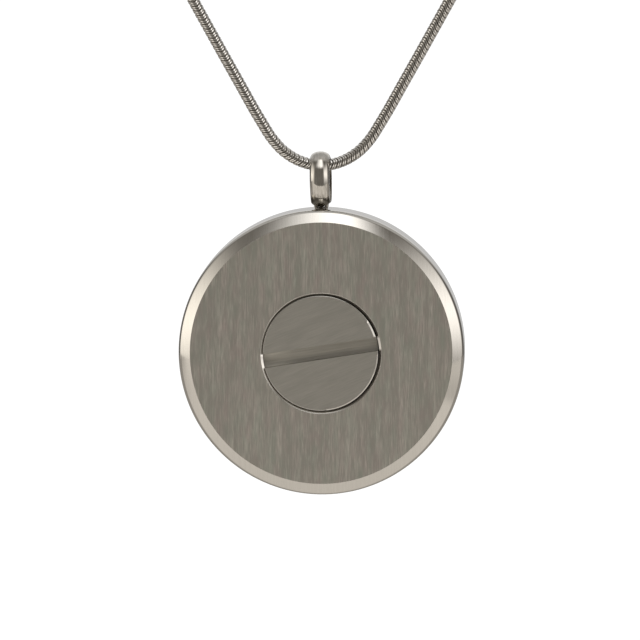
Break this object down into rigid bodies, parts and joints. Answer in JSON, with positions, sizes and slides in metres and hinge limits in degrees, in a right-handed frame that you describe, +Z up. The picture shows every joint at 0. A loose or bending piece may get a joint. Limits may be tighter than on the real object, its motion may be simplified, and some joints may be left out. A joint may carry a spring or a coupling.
{
  "type": "round screw-plug keepsake locket pendant on a snake chain",
  "caption": "Round bevelled steel keepsake locket with a coin-slot screw plug over its chamber, hung by an oval bail from a round snake chain.",
  "frame": {"origin": "at the nape of the wearer's neck, on the side of the clasp that lies against the neck", "axes": "+Z is up, the front of the pendant faces -Y, and +X is to the right as seen from the front"},
  "size_m": [0.1292, 0.1019, 0.1882],
  "materials": {
    "brushed_case": "vertical brushing on both faces, polished bevels and side wall",
    "brushed_plug": "fine slanted brushing, polished chamfer",
    "polished_bail": "mirror polished",
    "polished_chain": "polished links",
    "polished_clasp": "polished"
  },
  "bodies": {
    "necklace": {"chain": "polished_chain", "clasp": "polished_clasp"},
    "bail": {"bail": "polished_bail"},
    "case": {"locket_case": "brushed_case"},
    "plug": {"screw_plug": "brushed_plug"}
  },
  "joints": [
    {"name": "bail_swing", "type": "hinge", "parent": "necklace", "child": "bail", "pos_m": [0, -0.096, -0.152], "axis": [1, 0, 0], "range_deg": [-75, 75]},
    {"name": "case_swing", "type": "hinge", "parent": "bail", "child": "case", "pos_m": [0, -0.096, -0.15602], "axis": [0, 1, 0], "range_deg": [-20, 20]},
    {"name": "plug_unscrew", "type": "slide", "parent": "case", "child": "plug", "axis": [0, -1, 0], "range_m": [0, 0.008]}
  ]
}
